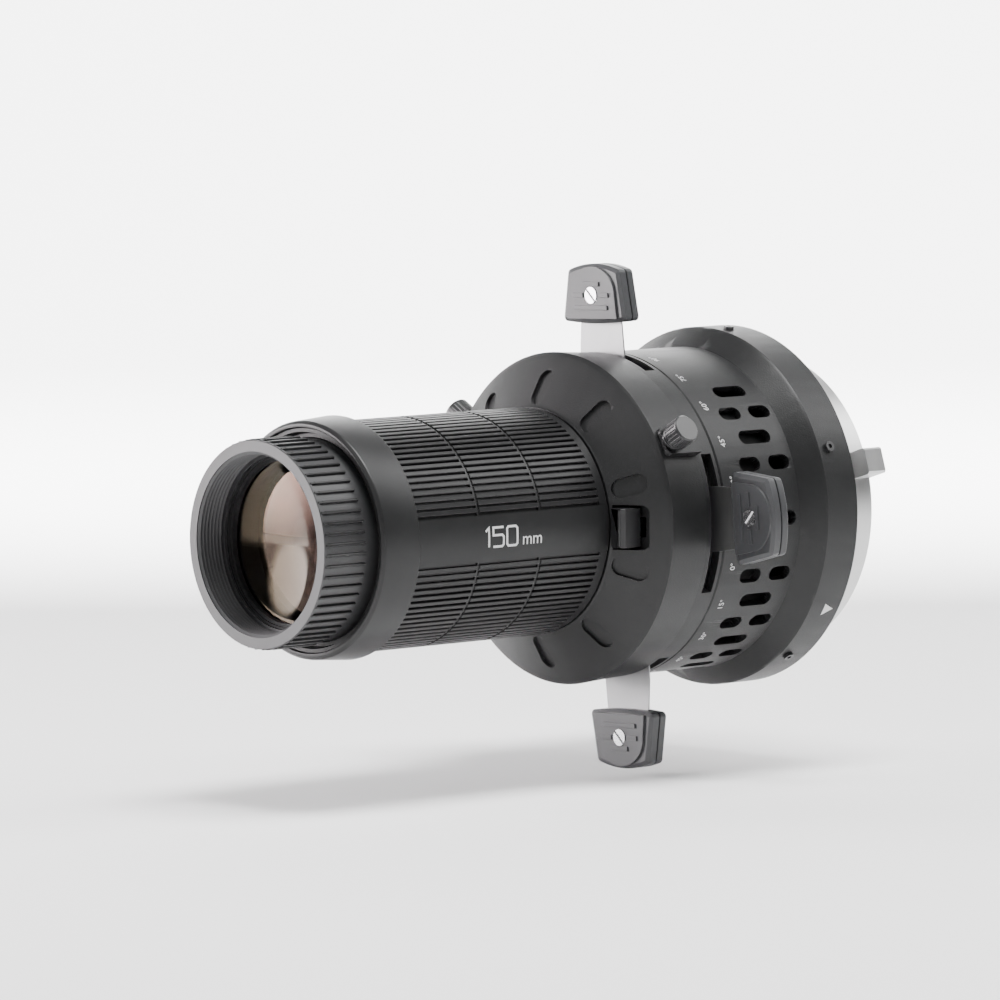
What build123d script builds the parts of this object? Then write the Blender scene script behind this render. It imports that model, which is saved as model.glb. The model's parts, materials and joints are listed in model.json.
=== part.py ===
"""Ellipsoidal spotlight head: condenser barrel, shutter housing and interchangeable 150 mm lens.

The light travels along -Y. The origin is on the optical axis, in the plane where the rear
rim seats on the lamp head. Sizes are in millimetres. Angles round the axis are measured
from +X towards +Z.
"""
import os
from math import cos, radians, sin, sqrt

from build123d import *

os.makedirs("parts", exist_ok=True)

# Clearances
running_gap = 0.08        # radial gap of a turning or sliding fit
seat_gap = 0.05           # radial gap of a piece that is dropped in and fixed
free_gap = 0.3            # gap between pieces that move past each other
edge_break = 0.3          # small chamfer on turned edges
mouth_break = 0.6         # chamfer where pieces lead into each other

# Rear barrel, fixed to the lamp head
rim_radius = 52.5
rim_width = 12.6
flare_length = 5.8
barrel_radius = 47.0
barrel_wall = 2.4
barrel_length = 48.0
bearing_radius = 43.4
bearing_length = 8.5
vent_width = 4.3
vent_short = 8.1
vent_long = 12.2
vent_pair_spacing = 11.6
vent_middle = 29.8        # distance of the vent rows in front of the seating plane
vent_pitch = 10.0         # degrees
vent_first = 0.0          # degrees
vent_rows_left_out = range(6, 13)

# Bayonet ring on the lamp side
bayonet_radius = 43.7
bayonet_bore = 39.5
bayonet_length = 14.4
bayonet_flange_radius = 49.2
bayonet_flange_depth = 10.5
lug_radius = 50.4
lug_width = 7.7
lug_length = 6.8
lug_first = 17.0          # degrees
rim_screw_first = 22.0    # degrees
rim_screw_pitch = 75.0    # degrees
rim_screw_count = 5
rim_screw_y = -8.5
rim_screw_radius = 1.0
rim_screw_head = 1.5

# Condenser
condenser_radius = 36.0
condenser_margin = 2.0
cell_wall = 2.0
cell_flange = 2.0
cell_ledge = 3.0
cell_flange_step = 1.7    # the flange's seat is this much smaller than the bayonet's
condenser_edge = 2.0
condenser_bulge = 7.0
condenser_gap = 2.5

# Shutter housing
drum_front_radius = 48.0
drum_rear_radius = 47.1
drum_depth = 22.2         # from the seam with the barrel to the edge of the front cone
drum_wall = 3.3
drum_chamfer = 1.2
cone_slope = 0.6
cone_wall = 2.8
cone_hollow = 2.6         # how far the cone is hollowed from behind
neck_radius = 33.2
neck_bore = 31.2
parting_depth = 7.0       # width of the rear ring seen between the seam and the parting line
tongue_wall = 2.0
tongue_length = 11.7
pocket_count = 10
pocket_inner = 34.0
pocket_outer = 43.4
pocket_width = 5.6
pocket_depth = 0.9

# Gate and shutters
gate_radius = 15.0
gate_plate = 1.0
blade_thickness = 0.5
blade_pitch = 0.8
stack_setback = 1.95      # rear blade's back face in front of the seam
blade_room = 0.45         # clear space between the outer blades and the gate plates
blade_edge = 7.5          # distance of each blade's cutting edge from the axis at rest
blade_half_width = 17.0
shoulder_inner = 24.0
shoulder_outer = 34.0
neck_half_width = 9.3
neck_tip_half_width = 7.6
blade_tip = 68.0
slot_half_angle = {"right": 25, "top": 25, "left": 25, "bottom": 32}   # degrees
pin_distance = 30.0
pin_radius = 0.75
blade_in = 5.0
blade_out = 8.0
rest_swivel = {"right": 5, "top": 2, "left": 0, "bottom": 2}    # degrees, each about its pin
rest_shift = {"right": 0, "top": 0, "left": 0, "bottom": 10.3}   # sideways place of each pin
spacer_distance = 40.5
spacer_angles = (45, 135, 225, 322)   # degrees
spacer_radius = 2.4
gate_screw_radius = 0.8
gate_screw_head = 1.5
gate_screw_head_height = 1.1

# Shutter handles
handle_inner = 56.3
handle_outer = 70.9
handle_half_width = 13.4
handle_tip_half_width = 10.9
handle_corner = 1.4
handle_tip_bow = 1.9      # how far the outer edge arches out
handle_base_bow = 0.8     # how far the inner edge arches in
handle_slope = 1.2        # width of the slope along the front edges
handle_slope_depth = 0.7
handle_front = 3.2        # handle's front face in front of the middle of its blade
handle_rear = 2.9         # handle's back behind the middle of its blade
pad_height = 0.7
pad_half_width = 10.4
pad_shoulder_half_width = 9.6
pad_margin = 0.6
pad_tip_margin = 0.8
pad_shoulder = 6.8        # length of the pad's straight sides
ridge_width = 1.3
ridge_height = 0.45
ridges = ((-3.6, 0, 13.8), (3.2, 0, 6.9), (0, -5.3, 4.2), (0, 5.3, 4.2))
handle_screw_distance = 63.7
handle_screw_radius = 1.1
handle_screw_head = 2.4
handle_screw_head_height = 1.0
handle_screw_recess = 0.7
handle_screw_slot = 0.7
insert_radius = 1.9
insert_cover = 0.6        # handle skin behind the threaded insert

# Thumb screws
thumb_angle = 30.0        # degrees
thumb_back = 16.7         # distance of the thumb screws in front of the seam
thumb_shank = 1.5
thumb_head = 4.1
thumb_head_length = 5.8
thumb_neck_length = 0.9
thumb_collar = 2.4
thumb_grooves = 24
thumb_groove_radius = 0.32
boss_width = 8.8
boss_height = 1.5
boss_corner = 2.2
washer_recess = 0.5
washer_radius = 3.3
washer_thickness = 1.2

# Lens latch
latch_half_width = 5.6
latch_inner = 33.4
latch_outer = 38.4
latch_travel = 3.0
latch_overhang = 0.74     # how far the latch stands in front of the neck
latch_nose_half_width = 2.4
latch_nose_front = 2.6    # nose and block, measured back from the latch's front face
latch_nose_rear = 5.4
latch_depth = 7.0
latch_leg_length = 15.2
latch_leg_thickness = 2.0
latch_spring_back = 14.0
recess_margin = 0.8
spring_radius = 1.3
spring_wire = 0.2
spring_pitch = 0.9

# Lens tube
spigot_radius = 29.9
spigot_bore = 26.0
spigot_length = 11.0
tube_radius = 32.8
tube_rear_radius = 32.3
tube_bore = 29.8
tube_length = 73.4
grip_rear_margin = 3.1    # plain end of the tube beside the housing
baffle_opening = 19.0
baffle_depth = 12.0
baffle_thickness = 2.0
collar_length = 12.8
collar_front_radius = 33.6
collar_rear_radius = 34.5
collar_step = 31.0
collar_overlap = 3.0

# Focusing lens head
ring_radius = 29.6
ring_length = 15.4        # knurled part
ring_stand_off = 2.3      # space between the knurled part and the collar at rest
mouth_radius = 25.3
mouth_depth = 9.2
knurl_count = 60
knurl_depth = 0.7
knurl_groove = 1.7
knurl_lip = 1.1
sleeve_radius = 28.6
sleeve_length = 22.0
carrier_tube = 26.0
carrier_wall = 2.1
carrier_guide_length = 22.0
objective_margin = 1.1
front_lens_depth = 12.1   # from the mouth to the front lens's edge
front_lens_edge = 3.4
front_lens_bulge = 2.4
rear_lens_edge = 4.0
objective_gap = 12.0

# Worked out from the sizes above
barrel_front = -barrel_length
barrel_bore = barrel_radius - barrel_wall
seam = barrel_front - free_gap
thumb_y = seam - thumb_back
drum_edge = seam - drum_depth
parting = seam - parting_depth
cone_edge_radius = drum_front_radius - drum_chamfer
neck_front = drum_edge - cone_slope * (cone_edge_radius - neck_radius) - mouth_break
latch_front = neck_front - latch_overhang
blade_count = 4
stack_height = (blade_count - 1) * blade_pitch + blade_thickness
stack_rear = seam - stack_setback
slot_rear = stack_rear + blade_room
slot_front = stack_rear - stack_height - blade_room
chamber_radius = drum_rear_radius - drum_wall + 0.4
tube_rear = neck_front - free_gap
tube_front = tube_rear - tube_length
collar_front = tube_front - collar_length
ring_rear = collar_front - ring_stand_off
ring_front = ring_rear - ring_length
rim_front = -rim_width
flare_front = rim_front - flare_length
directions = {"right": 0, "top": 90, "left": 180, "bottom": 270}


def turned(*outline):
    """Solid of revolution about the optical axis from (radius, y) points."""
    return revolve(make_face(Polyline(*outline, close=True)), Axis.Y)


def ring(inner, outer, front, rear):
    """Plain ring between two y planes."""
    return turned((inner, front), (outer, front), (outer, rear), (inner, rear))


def around(shape, angle):
    """Turn a shape about the optical axis, from +X towards +Z."""
    return Rot(0, -angle, 0) * shape


def spoke(radius, inner, outer, y, angle=0):
    """Round bar lying along a radius, between two distances from the axis."""
    bar = Pos((inner + outer) / 2, y, 0) * Rot(0, 90, 0) * Cylinder(radius, outer - inner)
    return around(bar, angle)


def pin(radius, distance, angle, front, rear):
    """Round bar parallel to the axis."""
    bar = Pos(distance, (front + rear) / 2, 0) * Rot(90, 0, 0) * Cylinder(radius, rear - front)
    return around(bar, angle)


def block(x0, x1, y0, y1, half_width):
    """Box between two x and two y planes, centred on z = 0."""
    box = Box(x1 - x0, y1 - y0, 2 * half_width)
    return Pos((x0 + x1) / 2, (y0 + y1) / 2, 0) * box


def plate(face_outline, front, rear):
    """Flat sheet across the axis, from (x, z) points, between two y planes."""
    sheet = extrude(make_face(Polyline(*face_outline, close=True)), rear - front)
    return Pos(0, rear, 0) * Rot(90, 0, 0) * sheet


def wedge(half_angle, inner, outer, front, rear):
    """Sector of a ring, centred on +X."""
    sector = ring(inner, outer, front, rear)
    reach = 2 * outer
    half = reach * sin(radians(half_angle))
    run = reach * cos(radians(half_angle))
    return sector & plate([(0, 0), (run, -half), (run, half)], front - 1, rear + 1)


def bowed(pole, rim, bulge, side):
    """Profile of one spherical face, from the lens's pole to the edge of its clear opening."""
    if bulge == 0:
        return Line(pole, rim)
    half = rim[0] / 2
    sphere = (rim[0] ** 2 + bulge**2) / (2 * abs(bulge))
    sagitta = abs(bulge) - (sphere - sqrt(sphere**2 - half**2))
    outward = side if bulge > 0 else -side
    return ThreePointArc(pole, (half, rim[1] + outward * sagitta), rim)


def lens(radius, margin, front, rear, front_bulge, rear_bulge):
    """Round lens with a flat margin: a positive bulge stands out of the edge, a negative sinks in."""
    clear = radius - margin
    front_pole = (0, front - front_bulge)
    rear_pole = (0, rear + rear_bulge)
    outline = [
        Line(rear_pole, front_pole),
        bowed(front_pole, (clear, front), front_bulge, -1),
        Line((clear, front), (radius, front)),
        Line((radius, front), (radius, rear)),
        Line((radius, rear), (clear, rear)),
        bowed(rear_pole, (clear, rear), rear_bulge, 1),
    ]
    return revolve(make_face(outline), Axis.Y)


def save(name, *solids):
    """Write one node; several solids become a group."""
    whole = solids[0] if len(solids) == 1 else Compound(children=list(solids))
    export_step(whole, f"parts/{name}.step")


# ---------------------------------------------------------------- rear barrel
cell_rear = -bayonet_flange_depth
cell_flange_front = cell_rear - cell_flange
cell_flange_radius = bayonet_flange_radius - cell_flange_step


def vent(length, y):
    """Round-ended cutter for one vent, along the axis at angle zero."""
    side = SlotOverall(length, vent_width)
    cutter = extrude(side, barrel_wall * 6)
    return Pos(barrel_radius - barrel_wall * 3, y, 0) * Rot(0, 90, 0) * Rot(0, 0, 90) * cutter


def vent_row(index):
    """Cutters of one row: rows alternate between a pair of short vents and a long one."""
    angle = vent_first + vent_pitch * index
    if index % 2:
        return [around(vent(vent_long, -vent_middle - 0.5), angle)]
    offsets = (-vent_pair_spacing / 2, vent_pair_spacing / 2)
    return [around(vent(vent_short, -vent_middle + offset), angle) for offset in offsets]


def rim_screw_angles():
    return [rim_screw_first - rim_screw_pitch * index for index in range(rim_screw_count)]


def vented_barrel():
    shoulder = barrel_front + bearing_length
    body = turned(
        (bearing_radius, barrel_front),
        (barrel_radius - 0.4, barrel_front),
        (barrel_radius, barrel_front + 0.4),
        (barrel_radius, flare_front),
        (rim_radius - 0.5, rim_front - 0.5),
        (rim_radius, rim_front + 0.3),
        (rim_radius, -0.5),
        (rim_radius - 0.5, 0),
        (bayonet_flange_radius, 0),
        (bayonet_flange_radius, cell_rear),
        (cell_flange_radius, cell_rear),
        (cell_flange_radius, cell_flange_front),
        (barrel_bore, cell_flange_front),
        (barrel_bore, shoulder),
        (bearing_radius, shoulder),
    )
    rows = int(360 / vent_pitch)
    cutters = []
    for index in range(rows):
        if index not in vent_rows_left_out:
            cutters += vent_row(index)
    body -= cutters
    holes = [
        spoke(rim_screw_radius + seat_gap, bayonet_flange_radius - 3, rim_radius + 1, rim_screw_y, angle)
        for angle in rim_screw_angles()
    ]
    return body - holes


def bayonet_ring():
    body = turned(
        (bayonet_bore, cell_rear),
        (bayonet_flange_radius - seat_gap, cell_rear),
        (bayonet_flange_radius - seat_gap, 0),
        (bayonet_radius, 0),
        (bayonet_radius, bayonet_length - 0.4),
        (bayonet_radius - 0.4, bayonet_length),
        (bayonet_bore, bayonet_length),
    )
    lug_front = bayonet_length - lug_length
    lug_block = block(bayonet_radius - 2, lug_radius, lug_front, bayonet_length, lug_width / 2)
    lug_block = chamfer(lug_block.edges().filter_by(Axis.Y).group_by(Axis.X)[-1], 0.6)
    for index in range(3):
        body += around(lug_block, lug_first + 120 * index)
    inner = bayonet_flange_radius - 4
    holes = [
        spoke(rim_screw_radius + seat_gap, inner, bayonet_flange_radius + 1, rim_screw_y, angle)
        for angle in rim_screw_angles()
    ]
    return body - holes


def button_screw(radius, head_radius, head_height, tip, seat, y, angle):
    """Radial button-head screw with a hexagon socket."""
    screw = spoke(radius, tip, seat, y) + spoke(head_radius, seat, seat + head_height, y)
    hexagon = extrude(RegularPolygon(head_radius * 0.5, 6), head_height)
    screw -= Pos(seat + head_height * 0.35, y, 0) * Rot(0, 90, 0) * hexagon
    return around(screw, angle)


def rim_screws():
    tip = bayonet_flange_radius - 3
    return [
        button_screw(rim_screw_radius, rim_screw_head, 0.9, tip, rim_radius + 0.02, rim_screw_y, angle)
        for angle in rim_screw_angles()
    ]


# ---------------------------------------------------------------- condenser
rear_lens_seat = cell_flange_front - cell_ledge
rear_lens_front = rear_lens_seat - condenser_edge
front_lens_rear = rear_lens_front - 2 * condenser_bulge - condenser_gap
front_lens_front = front_lens_rear - condenser_edge
cell_front = front_lens_front - 1.4
cell_bore = condenser_radius + seat_gap


def condenser_cell():
    outer = cell_bore + cell_wall
    return turned(
        (cell_bore, cell_front),
        (outer, cell_front),
        (outer, cell_flange_front),
        (cell_flange_radius - seat_gap, cell_flange_front),
        (cell_flange_radius - seat_gap, cell_rear),
        (condenser_radius - 2, cell_rear),
        (condenser_radius - 2, rear_lens_seat),
        (cell_bore, rear_lens_seat),
    )


def condensers():
    size = (condenser_radius, condenser_margin)
    rear_lens = lens(*size, rear_lens_front, rear_lens_seat, condenser_bulge, 0)
    front_lens = lens(*size, front_lens_front, front_lens_rear, 0, condenser_bulge)
    return front_lens, rear_lens


# ---------------------------------------------------------------- shutter housing
spigot_ring_rear = barrel_front + bearing_length + free_gap
drum_spigot = bearing_radius - running_gap
drum_spigot_bore = drum_spigot - 2.6
retainer_pitch = drum_spigot_bore + 1.3
retainer_head = 1.15
retainer_thickness = 2.0
plate_seat = slot_rear + gate_plate
tongue_outer = chamber_radius + tongue_wall / 2
tongue_front = parting - tongue_length


def shutter_slots():
    """Openings in the drum wall that the four blades leave by."""
    slots = []
    for side, angle in directions.items():
        half = slot_half_angle[side]
        slot = wedge(half, chamber_radius - 2, drum_front_radius + 2, slot_front, slot_rear)
        slots.append(around(slot, angle))
    return slots


def rear_ring():
    body = turned(
        (drum_spigot_bore, plate_seat),
        (drum_spigot_bore, spigot_ring_rear),
        (drum_spigot, spigot_ring_rear),
        (drum_spigot, seam),
        (drum_rear_radius - edge_break, seam),
        (drum_rear_radius, seam - edge_break),
        (drum_rear_radius + 0.1, parting),
        (tongue_outer, parting),
        (tongue_outer, tongue_front),
        (chamber_radius, tongue_front),
        (chamber_radius, plate_seat),
    )
    body -= shutter_slots()
    for angle in (thumb_angle, 180 - thumb_angle):
        body -= spoke(thumb_shank + running_gap, chamber_radius - 2, tongue_outer + 1, thumb_y, angle)
    for index in range(4):
        angle = 45 + 90 * index
        hole = pin(gate_screw_radius, retainer_pitch, angle, spigot_ring_rear - 5, spigot_ring_rear + 1)
        body -= hole
    return body


def rotation_retainer():
    front = spigot_ring_rear
    rear = front + retainer_thickness
    body = ring(drum_spigot_bore, barrel_bore - free_gap - 0.1, front, rear)
    for index in range(4):
        angle = 45 + 90 * index
        body -= pin(gate_screw_radius + seat_gap, retainer_pitch, angle, front - 1, rear + 1)
        body -= pin(retainer_head + seat_gap, retainer_pitch, angle, rear - 0.8, rear + 1)
    return body


def retainer_screws():
    front = spigot_ring_rear
    rear = front + retainer_thickness
    screws = []
    for index in range(4):
        angle = 45 + 90 * index
        shank = pin(gate_screw_radius, retainer_pitch, angle, front - 4, rear - 0.8)
        head = pin(retainer_head, retainer_pitch, angle, rear - 0.8, rear)
        screws.append(shank + head)
    return screws


def latch_window(margin):
    """Space round the latch's nose and leg, where they pass through the housing."""
    half = latch_nose_half_width + margin
    nose_front = latch_front + latch_nose_front - margin
    nose_rear = latch_front + latch_nose_rear + margin
    nose = block(spigot_radius - 1, latch_inner + 1, nose_front, nose_rear, half)
    leg_outer = latch_inner + latch_leg_thickness + 0.4 + latch_travel + 2 * margin
    leg = block(latch_inner - margin, leg_outer, latch_front + 1, latch_front + 18, half)
    return nose + leg


def front_shell():
    wall_radius = tongue_outer + seat_gap
    inner_slope_start = drum_front_radius - drum_wall - 0.7
    cone_back = drum_edge + cone_wall
    back_at_neck = cone_back - cone_hollow
    body = turned(
        (wall_radius, parting),
        (drum_rear_radius + 0.1, parting),
        (drum_front_radius, drum_edge + drum_chamfer),
        (cone_edge_radius, drum_edge),
        (neck_radius, neck_front + mouth_break),
        (neck_radius - mouth_break, neck_front),
        (neck_bore, neck_front),
        (neck_bore, cone_back),
        (neck_bore + 5, cone_back),
        (neck_bore + 5, back_at_neck),
        (inner_slope_start, cone_back),
        (wall_radius, cone_back + 0.5),
    )
    middle = drum_edge - cone_slope * (cone_edge_radius - (pocket_inner + pocket_outer) / 2)
    tilt = Vector(1, cone_slope, 0).get_angle(Vector(1, 0, 0))
    for index in range(pocket_count):
        length = (pocket_outer - pocket_inner) * sqrt(1 + cone_slope**2)
        cutter = extrude(SlotOverall(length, pocket_width), pocket_depth * 2, both=True)
        cutter = Rot(0, 0, tilt) * Rot(90, 0, 0) * cutter
        pocket = Pos((pocket_inner + pocket_outer) / 2, middle - pocket_depth, 0) * cutter
        body -= around(pocket, 180 / pocket_count + index * 360 / pocket_count)
    for angle in (thumb_angle, 180 - thumb_angle):
        boss_top = drum_front_radius + boss_height
        boss = block(tongue_outer + 1, boss_top, drum_edge + boss_corner, parting, boss_width / 2)
        boss = fillet(boss.edges().filter_by(Axis.X).group_by(Axis.Y)[0], boss_corner)
        body += around(boss, angle)
        body -= spoke(thumb_shank + running_gap, tongue_outer - 2, drum_front_radius + 3, thumb_y, angle)
        body -= spoke(washer_radius + free_gap, boss_top - washer_recess, boss_top + 8, thumb_y, angle)
    recess_outer = latch_outer + latch_travel + recess_margin
    recess_half = latch_half_width + recess_margin
    recess_rear = latch_front + latch_depth + recess_margin
    recess = block(latch_inner - recess_margin, recess_outer, latch_front - 2, recess_rear, recess_half)
    recess = fillet(recess.edges().filter_by(Axis.Y).group_by(Axis.X)[-1], 2.4)
    body -= recess
    body -= latch_window(0.5)
    return body


def lens_socket():
    cone_back = drum_edge + cone_wall
    body = turned(
        (spigot_radius + running_gap, neck_front + 0.4),
        (neck_bore - seat_gap, neck_front + 0.4),
        (neck_bore - seat_gap, cone_back),
        (neck_bore + 5, cone_back),
        (neck_bore + 5, cone_back + 1.6),
        (spigot_radius + running_gap, cone_back + 1.6),
    )
    body -= latch_window(0.6)
    for angle in (60, 180, 300):
        body -= pin(gate_screw_radius + seat_gap, neck_bore + 2.8, angle, cone_back - 1, cone_back + 3)
    return body


# ---------------------------------------------------------------- gate
def blade_plane(index):
    """Middle of one blade's thickness."""
    return stack_rear - blade_thickness / 2 - index * blade_pitch


def at_pin(radius, side, front, rear):
    """Round bar on the centre line of one side's pin."""
    bar = pin(radius, pin_distance, 0, front, rear)
    return around(Pos(0, 0, rest_shift[side]) * bar, directions[side])


def gate_fixings(front, rear):
    """Holes for the pins and the spacer screws, through one gate plate."""
    pin_holes = [at_pin(pin_radius + seat_gap, side, front - 1, rear + 1) for side in directions]
    screw_hole = gate_screw_radius + seat_gap
    screw_holes = [pin(screw_hole, spacer_distance, angle, front - 1, rear + 1) for angle in spacer_angles]
    return pin_holes + screw_holes


def gate_plates():
    outer = chamber_radius - seat_gap
    plates = []
    for front, rear in ((slot_front - gate_plate, slot_front), (slot_rear, slot_rear + gate_plate)):
        plates.append(ring(gate_radius, outer, front, rear) - gate_fixings(front, rear))
    return plates


def gate_spacers():
    hole = gate_screw_radius + seat_gap
    spacers = []
    for angle in spacer_angles:
        tube = pin(spacer_radius, spacer_distance, angle, slot_front, slot_rear)
        spacers.append(tube - pin(hole, spacer_distance, angle, slot_front - 1, slot_rear + 1))
    return spacers


def gate_screws():
    seat = slot_front - gate_plate
    screws = []
    for angle in spacer_angles:
        shank = pin(gate_screw_radius, spacer_distance, angle, seat, slot_rear + gate_plate)
        head = pin(gate_screw_head, spacer_distance, angle, seat - gate_screw_head_height, seat)
        screws.append(shank + head)
    return screws


def blade_pins():
    front = slot_front - gate_plate
    rear = slot_rear + gate_plate
    return [at_pin(pin_radius, side, front, rear) for side in directions]


# ---------------------------------------------------------------- shutters
bush_half_length = 2.4
bush_half_width = 1.2


def set_down(shape, side):
    """Move a shutter piece with its pin, swivel it about the pin and turn it to its own side."""
    place = Pos(pin_distance, 0, rest_shift[side])
    swivelled = place * Rot(0, -rest_swivel[side], 0) * Pos(-pin_distance, 0, 0) * shape
    return around(swivelled, directions[side])


def shutter_blade(index):
    """Blade on the +X side: a wide cutting end that narrows to a neck in the handle."""
    middle = blade_plane(index)
    front = middle - blade_thickness / 2
    rear = middle + blade_thickness / 2
    upper = [
        (blade_edge, blade_half_width),
        (shoulder_inner, blade_half_width),
        (shoulder_outer, neck_half_width),
        (drum_rear_radius, neck_half_width),
        (blade_tip, neck_tip_half_width),
    ]
    outline = upper + [(x, -z) for x, z in reversed(upper)]
    body = plate(outline, front, rear)
    slot_inner = pin_distance - blade_out - bush_half_length - free_gap
    slot_outer = pin_distance + blade_in + bush_half_length + free_gap
    body -= block(slot_inner, slot_outer, front - 1, rear + 1, bush_half_width + running_gap)
    body -= pin(handle_screw_radius + seat_gap, handle_screw_distance, 0, front - 1, rear + 1)
    return body


def guide_bush(index):
    """Small block that turns on the gate pin and runs in the blade's slot."""
    middle = blade_plane(index)
    front = middle - blade_thickness / 2
    rear = middle + blade_thickness / 2
    inner = pin_distance - bush_half_length
    outer = pin_distance + bush_half_length
    body = block(inner, outer, front, rear, bush_half_width)
    return body - pin(pin_radius + running_gap, pin_distance, 0, front - 1, rear + 1)


def handle_half(front, rear):
    """Plate with an arched outer end and a slightly bowed inner end."""
    base = (handle_inner, handle_half_width)
    tip = (handle_outer, handle_tip_half_width)
    outline = [
        ThreePointArc(base, (handle_inner - handle_base_bow, 0), (base[0], -base[1])),
        Line((base[0], -base[1]), (tip[0], -tip[1])),
        ThreePointArc((tip[0], -tip[1]), (handle_outer + handle_tip_bow, 0), tip),
        Line(tip, base),
    ]
    flat = make_face(outline)
    flat = fillet(flat.vertices(), handle_corner)
    return Pos(0, rear, 0) * Rot(90, 0, 0) * extrude(flat, rear - front)


def handle_pad(front):
    """Raised pad, straight towards the drum and round at the outer end, rooted below the slope."""
    base = handle_inner + pad_margin
    shoulder = base + pad_shoulder
    top = handle_outer + handle_tip_bow - pad_tip_margin
    outline = [
        Line((base, pad_half_width), (base, -pad_half_width)),
        Line((base, -pad_half_width), (shoulder, -pad_shoulder_half_width)),
        EllipticalCenterArc((shoulder, 0), top - shoulder, pad_shoulder_half_width, -90, arc_size=180),
        Line((shoulder, pad_shoulder_half_width), (base, pad_half_width)),
    ]
    root = handle_slope_depth + 0.3
    flat = extrude(make_face(outline), pad_height + root)
    return Pos(0, front + root, 0) * Rot(90, 0, 0) * flat


def handle_front_half(index):
    front = blade_plane(index) - handle_front
    rear = blade_plane(index) - blade_thickness / 2
    body = handle_half(front, rear)
    body = chamfer(body.edges().group_by(Axis.Y)[0], handle_slope_depth, handle_slope)
    body += handle_pad(front)
    face = front - pad_height
    for along, across, length in ridges:
        ridge = Box(ridge_width, 2 * ridge_height, length)
        body += Pos(handle_screw_distance + along, face, across) * ridge
    recess_floor = face + handle_screw_recess
    body -= pin(handle_screw_radius + seat_gap, handle_screw_distance, 0, front - 3, rear + 1)
    body -= pin(handle_screw_head + seat_gap, handle_screw_distance, 0, front - 3, recess_floor)
    return body


def handle_rear_half(index):
    front = blade_plane(index) + blade_thickness / 2
    rear = blade_plane(index) + handle_rear
    body = handle_half(front, rear)
    body = chamfer(body.edges().group_by(Axis.Y)[-1], 0.5)
    body -= pin(insert_radius, handle_screw_distance, 0, front - 1, rear - insert_cover)
    return body


def handle_insert(index):
    front = blade_plane(index) + blade_thickness / 2
    rear = blade_plane(index) + handle_rear - insert_cover
    body = pin(insert_radius, handle_screw_distance, 0, front, rear)
    return body - pin(handle_screw_radius + seat_gap, handle_screw_distance, 0, front - 1, rear + 1)


def handle_screw(index):
    face = blade_plane(index) - handle_front - pad_height + handle_screw_recess
    top = face - handle_screw_head_height
    rear = blade_plane(index) + handle_rear - insert_cover - 0.2
    body = pin(handle_screw_radius, handle_screw_distance, 0, face, rear)
    body += pin(handle_screw_head, handle_screw_distance, 0, top, face)
    slot_depth = handle_screw_head_height / 2
    slot = Box(handle_screw_slot, 2 * slot_depth, 2 * handle_screw_head + 1)
    slot = Pos(handle_screw_distance, top, 0) * Rot(0, 45, 0) * slot
    return body - slot


# ---------------------------------------------------------------- thumb screws
washer_seat = drum_front_radius + boss_height - washer_recess + 0.02


def thumb_washer(angle):
    body = spoke(washer_radius, washer_seat, washer_seat + washer_thickness, thumb_y)
    body -= spoke(thumb_shank + running_gap, washer_seat - 1, washer_seat + washer_thickness + 1, thumb_y)
    return around(body, angle)


def thumb_screw(angle):
    shoulder = washer_seat + washer_thickness + 0.05
    seat = shoulder + thumb_neck_length
    body = spoke(thumb_shank, chamber_radius - 0.6, seat + 1, thumb_y)
    body += spoke(thumb_collar, shoulder, seat + 1, thumb_y)
    head = spoke(thumb_head, seat, seat + thumb_head_length, thumb_y)
    head = chamfer(head.edges().group_by(Axis.X)[-1], 0.4)
    offset = thumb_head + thumb_groove_radius / 2
    for index in range(thumb_grooves):
        turn = radians(index * 360 / thumb_grooves)
        groove = spoke(thumb_groove_radius, seat + 0.6, seat + thumb_head_length - 0.8, 0)
        head -= Pos(0, offset * cos(turn) + thumb_y, offset * sin(turn)) * groove
    return around(body + head, angle)


# ---------------------------------------------------------------- lens latch
def lens_latch():
    front = latch_front
    body = block(latch_inner, latch_outer, front, front + latch_depth, latch_half_width)
    body = chamfer(body.edges().filter_by(Axis.Z).group_by(Axis.X)[-1].group_by(Axis.Y)[0], 1.0)
    body += block(latch_outer - 1.9, latch_outer - 1.2, front - 0.4, front + 0.5, latch_half_width - 0.6)
    nose_front = front + latch_nose_front
    nose_rear = front + latch_nose_rear
    body += block(spigot_radius + free_gap, latch_inner + 1, nose_front, nose_rear, latch_nose_half_width)
    leg_front = front + latch_depth - 1
    leg_rear = front + latch_leg_length
    leg_outer = latch_inner + latch_leg_thickness
    body += block(latch_inner, leg_outer, leg_front, leg_rear, latch_nose_half_width)
    return body


def latch_spring():
    start = latch_inner + latch_leg_thickness + latch_travel + 2 * free_gap
    length = drum_front_radius - drum_wall - 0.7 - free_gap - 2 * spring_wire - start
    path = Helix(spring_pitch, length, spring_radius)
    section = Plane(origin=path @ 0, z_dir=path % 0) * Circle(spring_wire)
    coil = sweep(section, path)
    return Pos(start + spring_wire, latch_front + latch_spring_back, 0) * Rot(0, 90, 0) * coil


# ---------------------------------------------------------------- lens tube
def lens_tube():
    grip_rear = tube_rear - grip_rear_margin
    return turned(
        (tube_bore, tube_rear),
        (tube_bore, tube_front - collar_overlap),
        (collar_step - seat_gap, tube_front - collar_overlap),
        (collar_step - seat_gap, tube_front),
        (tube_radius, tube_front),
        (tube_radius, grip_rear),
        (tube_rear_radius, grip_rear + edge_break),
        (tube_rear_radius, tube_rear - edge_break),
        (tube_rear_radius - edge_break, tube_rear),
    )


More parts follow.
